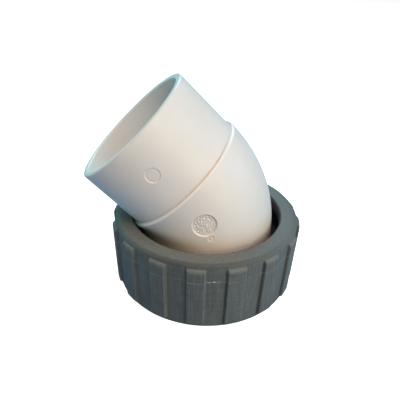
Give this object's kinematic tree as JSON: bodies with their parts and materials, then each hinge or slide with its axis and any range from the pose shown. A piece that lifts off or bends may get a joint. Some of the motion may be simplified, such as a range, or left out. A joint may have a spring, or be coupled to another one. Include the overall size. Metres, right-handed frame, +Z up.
{
  "type": "union elbow pipe fitting",
  "caption": "White 45 degree pipe elbow with a plain solvent socket at one end and a captive dark ribbed union nut with a flanged, O-ring sealed face at the other.",
  "frame": {"origin": "centre of the union nut's bottom rim, on the union's axis", "axes": "+Z up the union's axis from the nut's open bottom to its lip; the socket leans from +Z towards -X by 45 degrees; +Y makes the frame right-handed"},
  "size_m": [0.1125, 0.1004, 0.1098],
  "materials": {
    "white_pvc": "satin",
    "grey_nylon": "matte, finely speckled",
    "black_rubber": "matte"
  },
  "bodies": {
    "nut": {"union_nut": "grey_nylon"},
    "seal": {"o_ring": "black_rubber"},
    "elbow": {"elbow_tail": "white_pvc"}
  },
  "joints": [
    {"name": "tail_slide", "type": "slide", "parent": "nut", "child": "seal", "axis": [0, 0, 1], "range_m": [0, 0.0116]},
    {"name": "elbow_swivel", "type": "hinge", "parent": "seal", "child": "elbow", "pos_m": [0, 0, 0.015], "axis": [0, 0, 1], "continuous": true}
  ]
}
